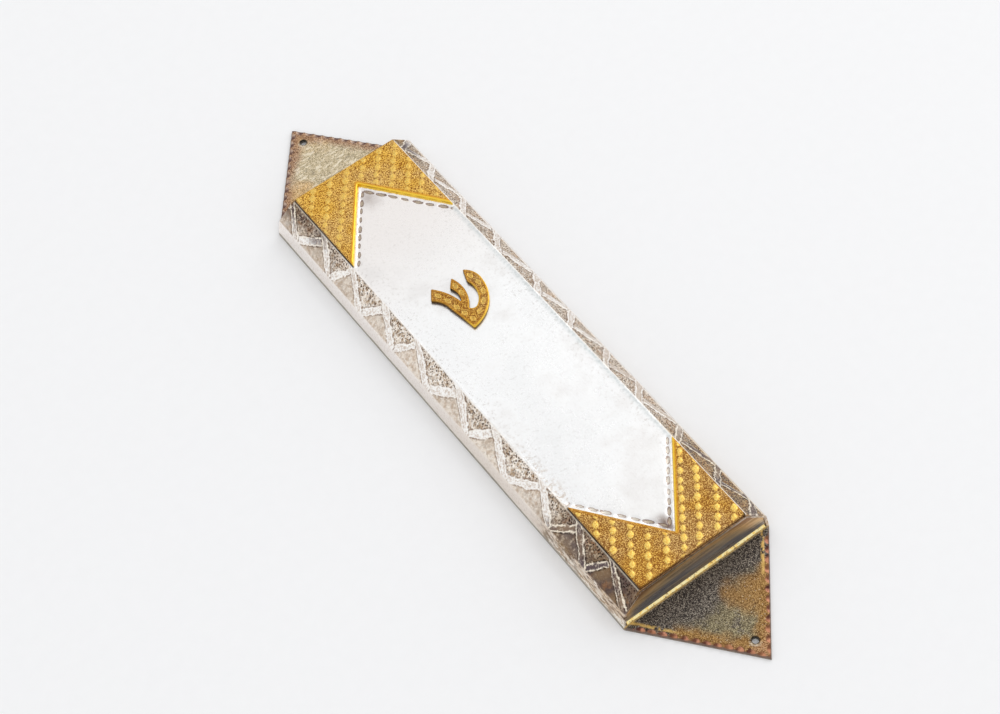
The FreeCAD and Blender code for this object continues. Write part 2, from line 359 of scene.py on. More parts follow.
class Finish:
    """One procedural material, with short calls for the nodes that it is made of.

    Sizes are in millimetres, and colours are display colours in hexadecimal digits.
    """

    def __init__(self, name, metallic=1.0, roughness=0.35):
        self.material = bpy.data.materials.new(name)
        self.material.use_nodes = True
        self.tree = self.material.node_tree
        self.tree.nodes.clear()
        self.surface = self.add("ShaderNodeBsdfPrincipled")
        self.surface.inputs["Metallic"].default_value = metallic
        self.surface.inputs["Roughness"].default_value = roughness
        output = self.add("ShaderNodeOutputMaterial")
        self.tree.links.new(self.surface.outputs[0], output.inputs["Surface"])
        self.place = self.made("ShaderNodeTexCoord", "Object", {})
        axes = self.add("ShaderNodeSeparateXYZ")
        self.feed(axes.inputs[0], self.place)
        self.x, self.y, self.z = (Value(self, output) * (1 / MM) for output in axes.outputs)

    def add(self, kind, **settings):
        """A new node with the given settings."""
        node = self.tree.nodes.new(kind)
        for key, value in settings.items():
            setattr(node, key, value)
        return node

    def feed(self, socket, value):
        """Gives a node's input another node's value, a colour or a number."""
        if isinstance(value, Value):
            self.tree.links.new(value.socket, socket)
        elif isinstance(value, str):
            socket.default_value = srgb(value)
        else:
            socket.default_value = value

    def made(self, kind, output, inputs, **settings):
        """One output of a new node whose inputs are given in order or by name."""
        node = self.add(kind, **settings)
        for key, value in inputs.items() if isinstance(inputs, dict) else enumerate(inputs):
            self.feed(node.inputs[key], value)
        return Value(self, node.outputs[output])

    def stretched(self, factors):
        """The place on the object, stretched for brushed or streaky textures."""
        if factors is None:
            return self.place
        return self.made("ShaderNodeMapping", 0, {"Vector": self.place, "Scale": factors})

    def noise(self, size, detail=3.0, roughness=0.55, stretch=None):
        """Soft noise from 0 to 1, with features of that size."""
        inputs = {
            "Vector": self.stretched(stretch),
            "Scale": 1 / (size * MM),
            "Detail": detail,
            "Roughness": roughness,
        }
        return self.made("ShaderNodeTexNoise", "Fac", inputs)

    def cells(self, size):
        """The distance to the nearest of many scattered points, for pits and grains."""
        inputs = {"Vector": self.place, "Scale": 1 / (size * MM)}
        return self.made("ShaderNodeTexVoronoi", "Distance", inputs)

    def layer(self, name):
        """A layer that the mesh carries, by its name."""
        return self.made("ShaderNodeAttribute", "Fac", {}, attribute_name=name)

    def spot(self, centre, reach, wobble):
        """1 around a place in plan, fading out at the reach, with a wobbly edge."""
        dx = (self.x - centre[0]) / reach[0]
        dy = (self.y - centre[1]) / reach[1]
        return (dx * dx + dy * dy).wobbled(wobble, 2.4).span(0.1, 1.5, 1.0, 0.0)

    def bump(self, height, depth, below=None):
        """Bump of that depth in millimetres, over another bump if given."""
        inputs = {"Distance": depth * MM, "Height": height}
        if below:
            inputs["Normal"] = below
        return self.made("ShaderNodeBump", 0, inputs)

    def coated(self, colour, *coats):
        """The colour under coats, each of them a mask and the colour that it shows."""
        for mask, coat in coats:
            colour = mask.blend(colour, coat)
        return colour

    def finish(self, colour, roughness=None, normal=None):
        """Joins what the surface shows, and gives the finished material."""
        inputs = {"Base Color": colour, "Roughness": roughness, "Normal": normal}
        for key, value in inputs.items():
            if value is not None:
                self.feed(self.surface.inputs[key], value)
        return self.material


def polished_top(f):
    """Polished silver, dusty towards its edges, with solder and stains beside each V, painted
    reflection in large grey clouds and painted shade along the right crease.
    """
    dust = f.noise(0.7, 3.0, 0.8)
    outward = abs(f.x).span(7.5, 13.0, 0.35, 1.0)
    by_crease = f.x.span(-10.0, -13.0) * f.y.span(-8.0, -42.0)
    solder = f.noise(0.8, 3.0).span(0.56, 0.64, 0.0, 0.8).blend("fffdf9", "baa096")
    return f.coated(
        f.y.span(12.0, 46.0).blend("f9f9f9", "f3eeeb"),
        (f.y.span(0.0, -30.0), "f3f3f3"),
        (f.y.span(-36.0, -48.0), "f0efee"),
        # Large grey clouds: painted reflection.
        (f.noise(13.0, 6.0, 0.65).span(0.50, 0.70, 0.0, 0.55), "e2dfdd"),
        (dust.span(0.52, 0.72, 0.0, 0.7) * outward, "c8c2bd"),
        (f.noise(0.9, 4.0, 0.75).span(0.48, 0.60, 0.0, 0.75) * by_crease, "c4b09c"),
        # Bluish grey along the right crease, broken by the dust noise: painted shade.
        (f.x.span(11.8, 13.1) * dust.span(0.35, 0.60, 0.2, 0.7), "ccd2d2"),
        (f.layer("stain") * f.noise(1.6, 4.0, 0.7).span(0.2, 0.6, 0.5, 1.0), "68462e"),
        (f.layer("fillet") * f.noise(1.1, 4.0, 0.7).span(0.40, 0.54, 0.25, 1.0), solder),
    )


def punched(f, top, fine):
    """The top's colour with the punched marks beside each V, each a little different."""
    place = f.layer("mark_place")
    index = place.whole()
    chance = (index + f.x.span(-0.1, 0.1, 0.0, 40.0)).random()
    size = chance.span(0.0, 1.0, 0.48, 0.34)
    across = (place - index - 0.5).wobbled(chance, 0.16) / size
    outer = f.layer("mark_away") / size
    leaf = (1.0 - across * across - outer * outer).wobbled(fine, 2.2)
    dark = f.layer("mark_dark")
    ring = dark.blend("a48a7c", "684842")
    centre = dark.blend("d6cec0", "ac9c86")
    marked = leaf.span(0.0, 0.22) * f.layer("mark_reach") * 0.9
    return marked.blend(top, leaf.span(0.30, 0.80).blend(ring, centre))


def shell_age(f):
    """How tarnished a slope is: fully at the lower end and partly at the upper one."""
    lower = f.y.span(-30.0, -43.0)
    upper = f.y.span(36.0, 60.0) * f.z.span(5.2, 8.6, 0.25, 0.85)
    aged = lower.most(upper) + f.noise(9.0, 4.0).span(0.3, 0.7, -0.16, 0.22)
    return aged.least(1.0).most(0.0)


def slope_salt(f, low, high):
    """Salt-like speckle of the right slope, which is seen at a low angle."""
    return f.x.span(0.0, 1.0) * f.noise(0.32, 2.0, 0.7).span(low, high, 0.0, 0.85)


def slope_field(f, fine, speck, aged):
    """The stippled triangles between the ribbon's legs, browner on the right slope."""
    upper, grain, right = f.layer("upper"), f.layer("grain"), f.x.span(0.0, 1.0)
    cloud, drift = f.noise(1.2, 4.0, 0.65).span(0.36, 0.62), f.noise(2.8, 3.0)
    young = f.coated(
        cloud.blend("ccb8a4", "eee3d6"),
        (upper, cloud.blend("b8a086", "faf0e4")),
        (right * f.y.span(-10.0, 40.0, 0.35, 0.65), cloud.blend("80644a", "bea890")),
        (right * drift.span(0.48, 0.60, 0.0, 0.55), "cea47a"),
    )
    frost = f.noise(1.1, 3.0).span(0.53, 0.66, 0.0, 0.6) * f.y.span(-54.0, -46.0)
    old = f.coated(
        f.noise(5.0, 3.0).span(0.35, 0.65).blend("5c4c48", "866e56"),
        (f.noise(2.6, 3.0).span(0.52, 0.66, 0.0, 0.5), "a67448"),
        (frost, "d0bea6"),
        (right * drift.span(0.42, 0.56, 0.0, 0.75), "b2824a"),
    )
    light = fine.span(0.51, 0.60) * upper.span(0.0, 1.0, 0.45, 0.95)
    light = light * aged.span(0.4, 1.0, 1.0, 0.55) * f.y.span(-56.0, -46.0, 0.35, 1.0)
    dark, ember = grain * speck.span(0.30, 0.45, 1.0, 0.0), grain * fine.span(0.44, 0.36, 0.0, 0.8)
    return f.coated(
        aged.blend(young, old),
        (light, aged.blend("fdfaf6", "e0ccb0")),
        (dark, aged.blend("523c2a", "2a201c")),
        (ember, aged.blend("906a42", "603a28")),
        (slope_salt(f, 0.53, 0.61), aged.blend("fcf4e6", "dec496")),
        (slope_salt(f, 0.47, 0.39), aged.blend("765a42", "463430")),
    )


def ribbon_colour(f, fine, aged):
    """The engraved ribbon: bright silver, or dark and scuffed where it is tarnished."""
    tan = f.x.span(0.0, 1.0) * f.y.span(0.0, -22.0, 0.05, 0.5)
    young = f.coated(
        fine.span(0.42, 0.62, 0.0, 0.9).blend("fefcf9", "d2c2b4"),
        (tan, "c2ac94"),
        (slope_salt(f, 0.47, 0.39) * 0.35, "967c64"),
    )
    old = f.noise(7.0, 2.0).span(0.4, 0.6).blend("645658", "927c68")
    old = f.noise(0.7, 4.0, 0.75).span(0.52, 0.64, 0.0, 0.7).blend(old, "ded0be")
    return aged.span(0.35, 0.9).blend(young, old)


def slope_colour(f, fine, speck, aged):
    """Stippled triangles between the legs of a ribbon with grooved and bright edges."""
    ragged, broken = f.noise(0.9, 5.0, 0.75), f.noise(0.9, 3.0, 0.6).span(0.40, 0.56)
    up, down = f.layer("up").wobbled(ragged, 1.5), f.layer("down").wobbled(ragged, 1.5)
    over = up.span(BAND_HALF + 0.02, BAND_HALF + 0.25)

    def both(climbing, falling):
        return climbing.most(falling * over)

    edges = BAND_HALF + 0.10, BAND_HALF - 0.08
    band = both(up.span(*edges), down.span(*edges))
    groove = both(up.ring(BAND_HALF + 0.22, 0.26), down.ring(BAND_HALF + 0.22, 0.24))
    inner = up.ring(BAND_HALF - 0.52, 0.20) * aged.span(0.2, 0.7, 0.8, 0.9)
    ridge = both(up.ring(BAND_HALF - 0.12, 0.28), down.ring(BAND_HALF - 0.12, 0.26))
    ridge = ridge * f.noise(1.4, 3.0, 0.6).span(0.36, 0.50, 0.2, 1.0)
    # A painted highlight along the right slope's fold.
    fold = f.x.span(0.0, 1.0) * f.z.ring(5.25, 0.40) * 0.85
    return f.coated(
        slope_field(f, fine, speck, aged),
        (band, ribbon_colour(f, fine, aged)),
        (groove * broken * 0.85, aged.blend("7e5e46", "221a18")),
        (inner * (1.0 - broken), aged.blend("c4ae9a", "3c2e28")),
        # White along the ribbon's ridges is its bright cut; along the crease and the fold it is painted
        # highlight.
        (ridge.most(f.layer("crease")).most(fold), aged.blend("fffcf8", "fcf0dc")),
    )


def margin_colour(f, fine):
    """The smooth strip below the engraving, stained towards the lower end."""
    aged = f.y.span(-30.0, -43.0)
    streak = f.noise(0.9, 5.0, 0.75, stretch=(1.0, 0.35, 1.0))
    streaked = aged * f.x.span(0.0, 1.0, 1.0, 0.45)
    pale = streak.span(0.49, 0.54) * f.z.span(1.8, 4.0, 1.0, 0.35)
    dark = streak.span(0.48, 0.43, 0.0, 0.9) * f.z.span(1.8, 4.0, 0.3, 1.0)
    patch = f.y.span(-34.0, -38.0) * f.y.span(-50.0, -45.0) * f.x.span(0.0, -1.0)
    return f.coated(
        f.y.span(-20.0, 20.0).blend("f2e9e0", "f9f3ee"),
        (fine.span(0.48, 0.66, 0.0, 0.5), "d0c2b4"),
        (aged * f.noise(3.5, 4.0).span(0.30, 0.62, 0.25, 1.0), "d0b698"),
        (pale * streaked, "fffaf0"),
        (dark * streaked, "684c36"),
        (f.layer("low").span(0.7, 1.0, 0.0, 0.6), "fffcf6"),
        (patch * f.noise(1.8, 4.0, 0.7).span(0.45, 0.58, 0.0, 0.7), "765c3a"),
    )


def shell_finish():
    """Polished silver top, engraved and oxidised slopes, smooth pale lower margin."""
    f = Finish("shell_silver")
    fine, speck = f.noise(0.55, 4.0, 0.8), f.cells(0.48)
    scratches = f.noise(0.35, 3.0, 0.6, stretch=(1.0, 0.06, 1.0))
    on_top = f.layer("top")
    colour = f.coated(
        margin_colour(f, fine),
        (f.layer("slope"), slope_colour(f, fine, speck, shell_age(f))),
        (on_top, punched(f, polished_top(f), fine)),
        # Dark in the crevice beside each chevron's left edge: oxide and painted shade.
        (f.layer("crevice_oxide_and_shade"), "281a12"),
        (f.layer("rim"), fine.span(0.4, 0.6).blend("60442c", "aa865c")),
    )
    rough_top = f.noise(13.0, 6.0, 0.65).span(0.3, 0.7, 0.22, 0.34)
    rough = on_top.blend(fine.span(0.3, 0.7, 0.34, 0.50), rough_top)
    normal = f.bump(fine, 0.016, f.bump(scratches, 0.008))
    return f.finish(colour, rough, f.bump(f.layer("grain") * speck, 0.08, normal))


def brass_finish(name, contrast, warmth, lift, grit):
    """Stippled matt brass with brighter beads, painted highlight on its bevels and painted shade on its
    sides.

    Contrast is the beads', warmth runs from sandy to orange, lift makes the stipple
    paler and grit is its size.
    """
    f = Finish(name)
    grain, fine = f.cells(grit), f.noise(grit * 1.4, 4.0, 0.8)
    mixed = grain * 0.6 + fine * 0.7 - lift
    sandy = mixed.ramp((0.43, "fcde9c"), (0.56, "caa060"), (0.71, "865e36"))
    golden = mixed.ramp((0.43, "ffd468"), (0.56, "d6a03c"), (0.70, "8e5a22"))
    blotch = f.noise(7.0, 3.0).span(0.32, 0.68, warmth - 0.35, warmth + 0.35)
    bead, bevel_and_highlight = f.layer("bead"), f.layer("bevel_and_highlight")
    colour = f.coated(
        blotch.blend(sandy, golden),
        (bead * contrast, fine.span(0.40, 0.60).blend("e8b042", "ffe688")),
        (f.layer("outline"), "926228"),
        # The orange band along the edges; on the lower chevron it is stronger on the lit half as
        # painted light.
        (f.layer("orange_band"), "d6942c"),
        # Yellow on the bevels: painted highlight.
        (bevel_and_highlight, "f8d04a"),
        # Soot on the face, and painted shade on the side walls.
        (f.layer("soot_and_shade"), "2c1c12"),
    )
    smooth = bevel_and_highlight.most(bead * 0.6)
    normal = f.bump((1.0 - grain) * (1.0 - smooth), 0.05)
    return f.finish(colour, smooth.span(0.0, 1.0, 0.46, 0.26), f.bump(fine, 0.012, normal))


def lower_ear_colour(f, grain, reach, rimward, blotch, cloud):
    """Dark stipple that turns olive, gold and then rust towards the tip and the edges."""
    slate = grain.grained("423d3e", "6a635e", "aaa196")
    olive = grain.grained("544b3c", "82775e", "c6bb98")
    gold = grain.grained("684828", "9a7648", "d2ae74")
    return f.coated(
        grain.grained("302d2d", "58514b", "c0b6a8"),
        (reach.span(67.5, 74.0), cloud.span(0.50, 0.66, 0.0, 0.6).blend(olive, slate)),
        (rimward.span(1.6, 4.0, 1.0, 0.0) * reach.span(67.0, 71.0), gold),
        (f.spot((5.4, -72.6), (5.0, 5.0), blotch) * 0.9, gold),
        (reach.span(79.0, 84.0), grain.grained("704a30", "aa825c", "e2be92")),
    )


def upper_ear_colour(f, grain, reach, rimward, blotch):
    """Pale scratched silver with tan heat tints and a brown rim."""
    strokes = f.noise(0.8, 4.0, 0.7, stretch=(0.35, 1.0, 1.0))
    tan = grain.grained("966e42", "dab278", "fadca8")
    brown = grain.grained("6c4c3a", "ac8468", "e2c2a2")
    return f.coated(
        grain.grained("96886c", "d0bf9e", "f6ead0"),
        (strokes.span(0.52, 0.62, 0.0, 0.7), "f4ead6"),
        (strokes.span(0.46, 0.38, 0.0, 0.5), "968e7e"),
        (f.spot((-10.0, 68.0), (5.0, 5.5), blotch) * 0.8, tan),
        (reach.span(76.0, 83.0, 0.0, 0.8), tan),
        (rimward.span(1.0, 3.6, 0.9, 0.0), brown),
    )


def scallop_colour(f, on_upper, blotch, cloud):
    """Copper in the lower ear's filed scallops, and umber in the upper ear's, each going from dark to
    pale across the scallop as painted shade and highlight.
    """
    glint = f.layer("phase").wobbled(cloud, 1.2)
    copper = glint.span(0.25, 0.80).blend("54322e", "d29478")
    copper = blotch.span(0.4, 0.65, 0.0, 0.4).blend(copper, "be8658")
    umber = glint.span(0.30, 0.95).blend("684c46", "ceb6a4")
    return on_upper.blend(copper, umber)


def ear_finish():
    """Stippled silver ears, dark below and pale above, with gilt and brown edges, painted glints,
    painted shade at the edges and in the nail holes, and a painted highlight on each hole's burr.
    """
    f = Finish("frame_silver")
    fine, blotch, cloud = f.noise(0.27, 4.0, 0.8), f.noise(5.5, 4.0, 0.6), f.noise(1.5, 3.0, 0.7)
    grain = f.cells(0.22) * 0.45 + fine * 0.75
    edge, on_upper = f.layer("edge"), f.y.span(-1.0, 1.0)
    reach, rimward = abs(f.y).wobbled(blotch, 14.0), edge.wobbled(blotch, 5.0)
    gilt_edge = edge.span(0.9, 1.2) * edge.span(2.0, 1.4) * f.y.span(-74.0, -67.0)
    gilt_edge = gilt_edge * f.y.span(-50.0, -62.0) * cloud.span(0.42, 0.56)
    colour = f.coated(
        lower_ear_colour(f, grain, reach, rimward, blotch, cloud),
        (on_upper, upper_ear_colour(f, grain, reach, rimward, blotch)),
        # Sparse pale specks: painted glints.
        (f.cells(0.75).span(0.20, 0.10, 0.0, 0.4), "e2daca"),
        (f.layer("scallop"), scallop_colour(f, on_upper, blotch, cloud)),
        (gilt_edge * 0.8, "e6c070"),
        # Darker at the very edges and side faces: painted shade.
        (edge.span(0.14, 0.30, 0.9, 0.0), "7a685e"),
        # Near black in the nail holes: painted shade.
        (f.layer("hole"), "14100e"),
        # Pale on the burr's side toward the camera: painted highlight.
        (f.layer("burr"), "e0d2bc"),
        (f.layer("seam") * f.noise(1.8, 4.0, 0.65).span(0.34, 0.46), "fcd684"),
    )
    back = blotch.blend("968e82", "c4beb4")
    normal = f.bump(grain * f.layer("face"), 0.03)
    return f.finish(f.layer("face").blend(back, colour), fine.span(0.3, 0.7, 0.55, 0.40), normal)


def wall_finish():
    """Polished silver in bands by height, partly heat tint and partly painted reflection: pale at the
    foot, slate in its hollow and brown along the top.
    """
    f = Finish("wall_silver", metallic=0.8)
    streak = f.noise(1.4, 5.0, 0.65, stretch=(0.08, 1.0, 1.0))
    hair = f.noise(0.45, 3.0, 0.7, stretch=(0.05, 1.0, 1.0))
    bow = f.x * f.x * 0.0095
    # Bands by height and bow: partly heat tint, partly painted reflection of a curved polished wall.
    tints = (f.z + bow + streak * 3.4).span(2.8, 12.0).ramp(
        (0.04, "b09c86"),
        (0.20, "8e8c92"),
        (0.40, "969090"),
        (0.56, "c4ac8c"),
        (0.76, "e2ba82"),
        (0.93, "9c7450"),
    )
    tints = hair.span(0.50, 0.66, 0.0, 0.45).blend(tints, "e8d6b8")
    tints = hair.span(0.48, 0.34, 0.0, 0.45).blend(tints, "544c4c")
    normal = f.bump(hair, 0.02, f.bump(streak, 0.04))
    return f.finish(tints, streak.span(0.3, 0.7, 0.26, 0.40), normal)


def cover_finish():
    """Worn brass sheet, brushed along its length, bright at its rounded front end, partly rubbed and
    partly painted highlight.
    """
    f = Finish("cover_brass")
    brushed = f.noise(0.5, 4.0, 0.6, stretch=(1.0, 0.03, 1.0))
    blotch, fine = f.noise(10.0, 4.0, 0.6), f.noise(0.7, 3.0)
    end = f.y.span(-61.5, -62.4)
    # The rounded front end's brightness: rubbed brass with a painted highlight.
    bright = fine.span(0.35, 0.55).blend("ffda7c", "fff2ba")
    bright = f.noise(0.9, 4.0, 0.8).span(0.54, 0.62, 0.0, 0.8).blend(bright, "8c6230")
    worn = blotch.ramp((0.32, "9e763c"), (0.5, "cea65c"), (0.68, "e2c076"))
    worn = brushed.span(0.5, 0.75, 0.0, 0.4).blend(worn, "f6dea0")
    rough = blotch.span(0.3, 0.7, 0.30, 0.20) + end * 0.2
    return f.finish(end.blend(worn, bright), rough, f.bump(fine, 0.02, f.bump(brushed, 0.012)))


def rail_finish():
    """Plain silver strip with grey solder bloom."""
    f = Finish("rail_silver")
    fine = f.noise(0.4, 3.0)
    bloom = f.noise(2.5, 4.0).ramp((0.35, "78726c"), (0.6, "bcb8b2"))
    return f.finish(bloom, fine.span(0.3, 0.7, 0.4, 0.6), f.bump(fine, 0.02))


def parchment_finish():
    """Cream skin with faint follicle specks and creases along the roll."""
    f = Finish("parchment", metallic=0.0, roughness=0.62)
    mottled, crease = f.noise(6.0, 5.0), f.noise(1.0, 3.0, 0.6, stretch=(1.0, 0.05, 1.0))
    skin = mottled.ramp((0.3, "ceb890"), (0.5, "e2d0ac"), (0.7, "eee0c2"))
    skin = f.cells(0.5).span(0.05, 0.16, 0.25, 0.0).blend(skin, "aa8c64")
    return f.finish(skin, normal=f.bump(mottled, 0.03, f.bump(crease, 0.05)))


# ---------------------------------------------------------------- cover shell

def lean(z):
    """How far the housing's ends lean in at a height."""
    return END_LEAN * (z - FOOT_Z) / (CREASE_Z - FOOT_Z)


def unit(way):
    """A direction of length 1."""
    return way / np.linalg.norm(way)


def rounded_corner(before, corner, after, radius, count):
    """Points of an arc that rounds a corner of a section."""
    corner = np.array(corner)
    back, onward = unit(before - corner), unit(after - corner)
    half = math.acos(np.clip(back @ onward, -1, 1)) / 2
    centre = corner + unit(back + onward) * radius / math.sin(half)
    reach = radius / math.tan(half)
    start, end = corner + back * reach - centre, corner + onward * reach - centre
    turn = math.pi - 2 * half
    share = np.linspace(0, 1, count + 1)[:, None]
    arc = start * np.sin((1 - share) * turn) + end * np.sin(share * turn)
    return list(centre + arc / math.sin(turn))


def half_section():
    """The left half of the shell's outer section, from its foot to the middle of the top."""
    foot, fold, crease = (-HALF_WIDTH, FOOT_Z), (-BREAK_X, BREAK_Z), (-CREASE_X, CREASE_Z)
    shoulder = rounded_corner(foot, fold, crease, 2.0, 8)
    ridge = rounded_corner(fold, crease, (0, CREASE_Z), 0.5, 5)
    points = [np.array(foot)]

    def run_to(target, spacing):
        start = points[-1]
        count = max(1, round(np.linalg.norm(target - start) / spacing))
        points.extend(start + (target - start) * (k + 1) / count for k in range(count))

    run_to(shoulder[0], 0.45)
    points.extend(shoulder[1:])
    run_to(ridge[0], 0.23)
    points.extend(ridge[1:])
    run_to(np.array((0.0, CREASE_Z)), 0.30)
    return points


def shell_section():
    """The shell's whole outer section, and the way out of it at each of its points."""
    left = half_section()
    section = np.array(left + [np.array((-p[0], p[1])) for p in reversed(left[:-1])])
    tangent = np.gradient(section, axis=0)
    outward = np.stack([-tangent[:, 1], tangent[:, 0]], 1)
    outward /= np.linalg.norm(outward, axis=1)[:, None]
    return section, outward


# Where the engraved ribbon's climbing legs meet the foot and the crease of each slope.
# The left slope is read along +Y and the right slope along -Y.
LEFT_CLIMBS = [
    (-62.0, -53.0), (-48.8, -42.7), (-37.3, -30.3), (-22.3, -14.0), (-8.7, -1.3),
    (5.7, 14.0), (18.7, 26.0), (31.0, 38.7), (43.3, 49.3), (56.3, 62.5), (70.0, 76.0),
]
RIGHT_CLIMBS = [
    (-62.5, -59.0), (-53.3, -47.7), (-41.3, -35.3), (-29.0, -22.0), (-14.0, -8.0),
    (-1.3, 3.3), (11.0, 15.7), (22.0, 27.0), (35.7, 39.5), (48.0, 52.5), (58.5, 64.0),
]
BAND_HALF = 0.82


def zigzag(along, rise, climbs, seed, low_grain):
    """The engraved ribbon on one slope, from places on the slope.

    Gives the distances to the middles of its climbing and falling legs, masks of the
    stipple and of the upper triangles, and the relief.
    """
    legs_up = [((foot, 0.4), (head + 0.9, 6.8)) for foot, head in climbs]
    legs_down = [
        ((head + 0.1, 4.7), (foot - 0.7, 0.3)) for (_, head), (foot, _) in zip(climbs, climbs[1:])
    ]
    wobble = (noise(along, rise, 2.2, seed) - 0.5) * 0.5
    wobble = wobble + (noise(along, rise, 5.0, seed + 1) - 0.5) * 0.3
    up = np.minimum(nearest(along, rise, legs_up), 9.0) + wobble
    down = np.minimum(nearest(along, rise, legs_down), 9.0) + wobble
    corners = sorted([(foot, 0.0) for foot, _ in climbs] + [(head, 6.2) for _, head in climbs])
    middle = np.interp(along, *zip(*corners))
    over = step(up, BAND_HALF + 0.05, BAND_HALF + 0.30)
    band = np.maximum(step(BAND_HALF - up, -0.10, 0.15), step(BAND_HALF - down, -0.10, 0.15) * over)
    groove = np.maximum(bell(up - BAND_HALF - 0.2, 0.2), bell(down - BAND_HALF - 0.2, 0.2) * over)
    groove = groove * (0.4 + 0.6 * noise(along, rise, 1.1, seed + 3))
    above = step(rise - middle, -0.4, 0.4)
    upper, lower = (1 - band) * above, (1 - band) * (1 - above)
    jitter = hashed(np.round(along * 4), np.round(rise * 4.4), seed) - 0.5
    relief = -0.10 * (1 - band) + jitter * (0.08 * upper + 0.03 * lower) - 0.08 * groove
    grain = upper * (0.55 + 0.45 * step(rise, 2.6, 5.0)) + lower * low_grain
    return up, down, grain, upper, relief


def v_edges():
    """The two arms of each chevron's V, as segments from the apex outward."""
    for sign in (-1, 1):
        for side in (-1, 1):
            yield sign, side, (0.0, sign * CHEVRON_APEX), (side * CHEVRON_SIDE, sign * CHEVRON_TIP)


def top_marks(x, y):
    """Layers and relief of the punched marks, solder fillet and stains beside each V."""
    names = ("mark_place", "mark_away", "mark_reach", "mark_dark", "fillet", "stain")
    layers = {name: np.zeros(x.shape) for name in names}
    layers["mark_away"] += 9.0
    start = 1.3
    for sign, side, apex, end in v_edges():
        length = math.dist(apex, end)
        ux, uy = (end[0] - apex[0]) / length, (end[1] - apex[1]) / length
        nx, ny = (uy, -ux) if ux * sign > 0 else (-uy, ux)
        along = (x - apex[0]) * ux + (y - apex[1]) * uy
        away = (x - apex[0]) * nx + (y - apex[1]) * ny
        on_arm = step(along, -0.2, 0.3) * step(length + 0.5 - along, 0.0, 0.5)
        pitch, offset = (2.9, 1.08) if side * sign > 0 else (2.36, 1.0)
        offset = offset + 0.22 * (noise(along, away * 0, 4.0, 15 + side + 3 * sign) - 0.5)
        found = {
            "mark_place": (along - start) / pitch,
            "mark_away": away - offset,
            "mark_reach": step(along, start - 0.1, start + 0.1) * on_arm,
            "mark_dark": step(10.0 - along, 0.0, 5.0) if sign < 0 else 1.0,
            "fillet": bell(away - 0.26, 0.16) * on_arm,
        }
        here = (x * side >= 0) & (y * sign > 0)
        for name, values in found.items():
            layers[name] = np.where(here, values, layers[name])
    for sign, from_apex, amount, size in ((-1, 2.3, 0.98, 1.75), (1, 4.4, 0.42, 2.0)):
        centre = sign * (CHEVRON_APEX - from_apex)
        lobes = 0.75 + 0.5 * noise(x, y, 1.4, 61)
        blot = bell(np.hypot(x + 0.2, (y - centre) / 1.35), size * lobes)
        layers["stain"] = np.maximum(layers["stain"], blot * amount)
    a = (layers["mark_place"] - np.floor(layers["mark_place"]) - 0.5) / 0.42
    pressed = np.clip(1 - a * a - (layers["mark_away"] / 0.6) ** 2, 0, 1) * layers["mark_reach"]
    return layers, 0.12 * layers["fillet"] - 0.12 * np.sqrt(pressed)


def shell_relief(x, y, z):
    """The shell's layers, and the relief of its outer face in millimetres."""
    slope_run = math.dist((BREAK_X, BREAK_Z), (CREASE_X, CREASE_Z))
    rise = (z - BREAK_Z) / (CREASE_Z - BREAK_Z) * slope_run
    on_top = step(CREASE_X - np.abs(x), 0.0, 0.22) * (z > CREASE_Z - 0.2)
    on_slope = step(rise, -0.1, 0.3) * (1 - on_top)
    slopes = zigzag(y, rise, LEFT_CLIMBS, 11, 0.16), zigzag(-y, rise, RIGHT_CLIMBS, 12, 0.6)
    up, down, grain, upper, carve = (np.where(x > 0, b, a) for a, b in zip(*slopes))
    # The crease line, slightly raised and painted white as a highlight in the finish.
    crease = bell(np.abs(x) - CREASE_X + 0.15, 0.26) * step(z, CREASE_Z - 0.45, CREASE_Z - 0.1)
    fade = step(rise, 0.0, 0.4) * step(slope_run - rise, 0.05, 0.4)
    from_end = HALF_LENGTH - lean(z) - np.abs(y)
    beside_plate = step(CHEVRON_ARM + 0.6 - from_end, 0.0, 0.4)
    dents = (noise(x, y, 7.0, 3) - 0.5) * 0.10 + (noise(x, y, 2.6, 4) - 0.5) * 0.02
    layers, top_relief = top_marks(x, y)
    relief = carve * fade * on_slope
    relief += on_top * (dents * 0.8 + top_relief) + 0.04 * crease
    relief -= (1 - on_top) * (1 - on_slope) * 0.10 * noise(y, z, 4.0, 6)
    layers |= {
        "top": on_top,
        "slope": on_slope,
        "up": up,
        "down": down,
        "crease": crease,
        "low": step(2.4 - z, 0.0, 1.6),
        "grain": grain * on_slope,
        "upper": upper * on_slope,
        # The crevice beside each chevron's left edge, darkened with oxide and painted shade.
        "crevice_oxide_and_shade": bell(x + CHEVRON_SIDE + 0.12, 0.14) * beside_plate * (z > CREASE_Z - 0.1),
        "rim": step(0.45 - from_end, 0.0, 0.25) * step(z, CREASE_Z - 1.2, CREASE_Z - 0.3),
    }
    return layers, relief * step(from_end, 0.0, 0.5)


